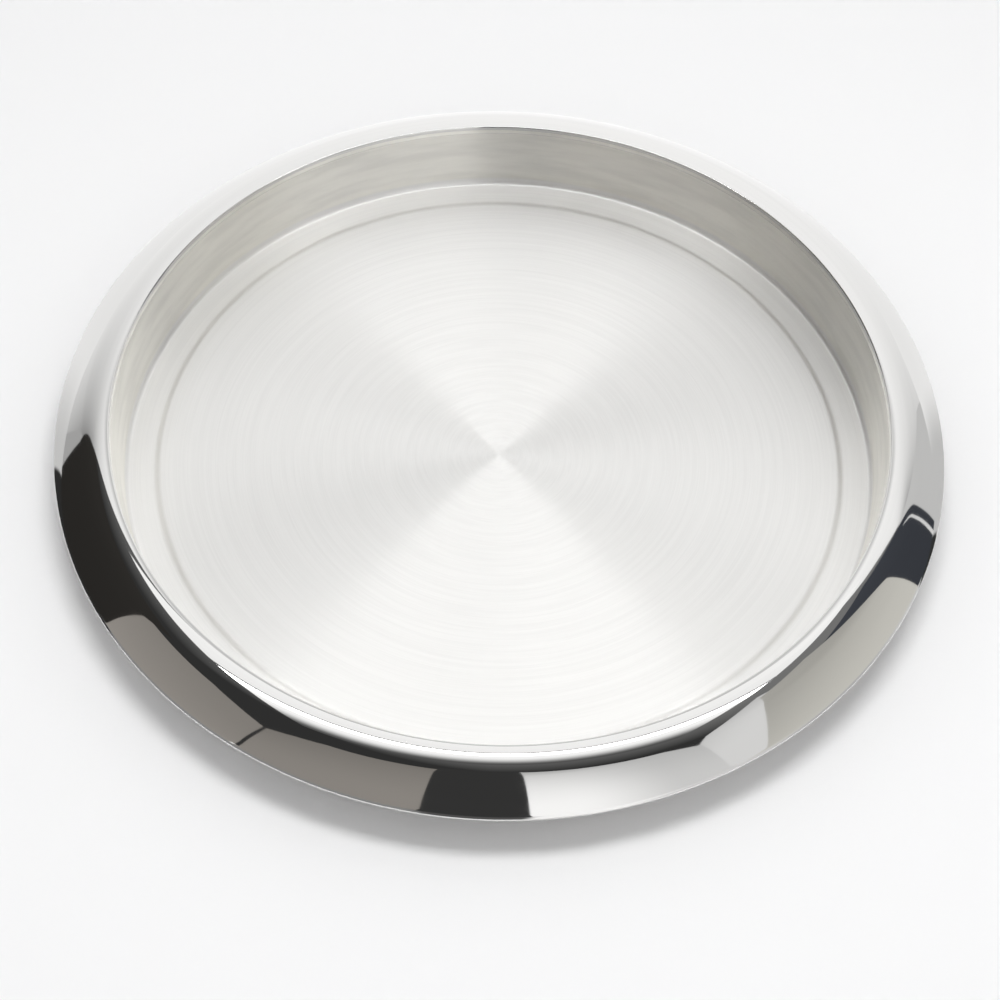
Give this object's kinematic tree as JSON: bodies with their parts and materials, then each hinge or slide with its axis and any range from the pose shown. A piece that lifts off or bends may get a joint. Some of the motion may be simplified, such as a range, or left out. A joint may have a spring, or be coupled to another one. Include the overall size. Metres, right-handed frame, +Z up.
{
  "type": "bar tray",
  "caption": "Round bar tray in stainless steel: a brushed, recessed serving pan inside a broad, polished rim that slopes outward and turns under all round.",
  "frame": {"origin": "centre of the standing ring, on the surface that the tray stands on", "axes": "+Z up along the tray's axis of revolution, -Y towards the picture's viewer, +X to the viewer's right"},
  "size_m": [0.381, 0.381, 0.0394],
  "materials": {
    "brushed_pan": "fine concentric brushing",
    "polished_rim": "mirror-polished stainless steel",
    "satin_base": "satin",
    "weld_metal": "as welded",
    "dressed_weld": "dressed smooth",
    "plug_metal": "dressed smooth"
  },
  "bodies": {
    "root": {"serving_pan": "brushed_pan", "rim_shell": "polished_rim", "base_shell": "satin_base", "crest_weld": "weld_metal", "edge_weld": "dressed_weld", "vent_plug": "plug_metal"}
  },
  "joints": []
}
